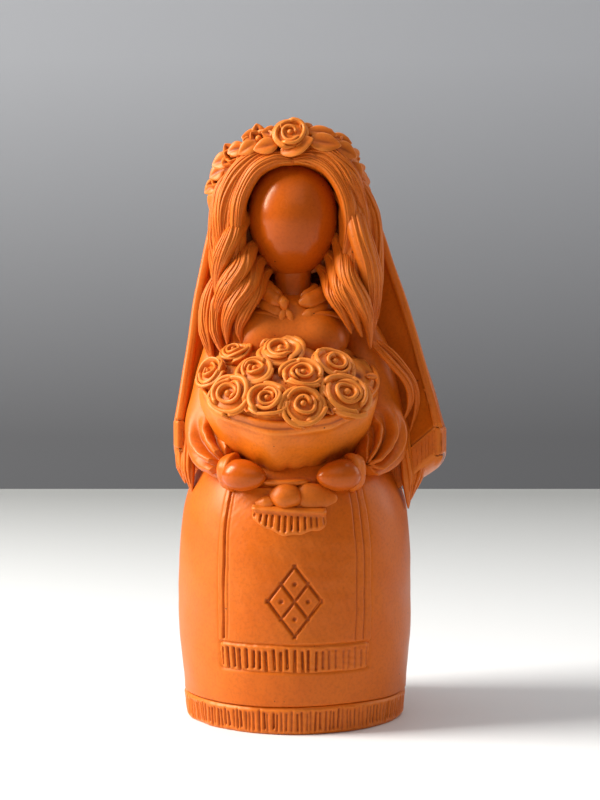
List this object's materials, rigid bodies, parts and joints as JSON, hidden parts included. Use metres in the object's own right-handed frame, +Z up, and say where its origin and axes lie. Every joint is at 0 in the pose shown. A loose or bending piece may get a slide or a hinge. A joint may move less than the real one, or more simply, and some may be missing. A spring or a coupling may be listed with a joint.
{
  "type": "folk doll figurine",
  "caption": "Free-standing faceless folk doll with wavy hair, flower wreath and fringed veil, holding a wrapped bouquet over a long aproned skirt.",
  "frame": {"origin": "centre of the flat base, on the surface that the doll stands on", "axes": "+Z up along the doll, -Y out of the doll's front, +X to the right as one faces the doll"},
  "size_m": [0.069, 0.0656, 0.149],
  "materials": {
    "cloth": "satin",
    "trim": "satin",
    "hair": "satin",
    "skin": "gloss",
    "flowers": "satin"
  },
  "bodies": {
    "root": {"skirt": "cloth", "hem_fringe": "trim", "apron": "cloth", "apron_fringe": "trim", "bodice": "cloth", "neck": "skin", "head": "skin", "collar_left": "cloth", "collar_right": "cloth", "collar_knot": "cloth", "hair_crown": "hair", "hair_left": "hair", "hair_right": "hair", "veil": "cloth", "veil_fringe": "trim", "veil_fold_left": "cloth", "veil_fold_right": "cloth", "wreath_band": "flowers", "wreath_leaves": "flowers", "sleeve_left": "cloth", "sleeve_right": "cloth", "cuff_left": "trim", "cuff_right": "trim", "hand_left": "skin", "hand_right": "skin", "bouquet_wrap": "cloth", "bouquet_filling": "flowers", "bouquet_knot": "cloth", "bouquet_ribbon": "trim", "rose_1": "flowers", "rose_2": "flowers", "rose_3": "flowers", "rose_4": "flowers", "rose_5": "flowers", "rose_6": "flowers", "rose_7": "flowers", "rose_8": "flowers", "rose_9": "flowers", "rose_10": "flowers", "wreath_rose_1": "flowers", "wreath_rose_2": "flowers", "wreath_rose_3": "flowers", "wreath_rose_4": "flowers", "wreath_rose_5": "flowers", "wreath_rose_6": "flowers", "wreath_rose_7": "flowers"}
  },
  "joints": []
}
